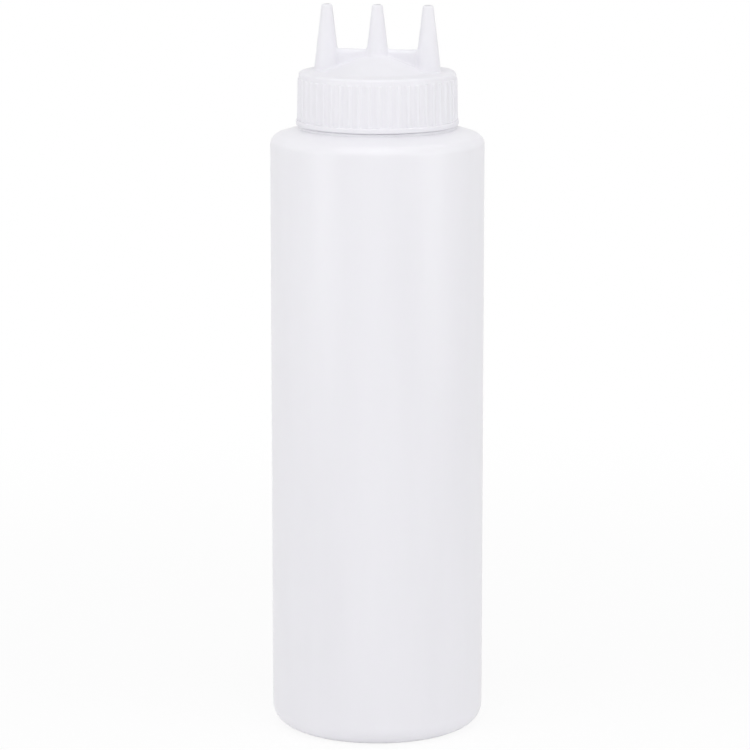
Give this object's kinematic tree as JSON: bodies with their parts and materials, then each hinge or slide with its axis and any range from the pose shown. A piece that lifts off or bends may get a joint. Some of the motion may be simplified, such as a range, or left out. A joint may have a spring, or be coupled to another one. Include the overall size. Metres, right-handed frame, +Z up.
{
  "type": "squeeze bottle",
  "caption": "Tall round translucent plastic squeeze bottle with a ribbed screw cap carrying a row of tapered nozzles joined by a web.",
  "frame": {"origin": "centre of the standing ring, on the bottle's axis, at the level of the surface it stands on", "axes": "+Z up along the bottle's axis to the tips of the nozzles; X along the row of nozzles; -Y to the front"},
  "size_m": [0.07, 0.07, 0.24],
  "materials": {
    "bottle": "satin, milky translucent low-density polyethylene",
    "cap": "semi-gloss, milky translucent moulded plastic"
  },
  "bodies": {
    "root": {"bottle": "bottle", "cap": "cap"}
  },
  "joints": []
}
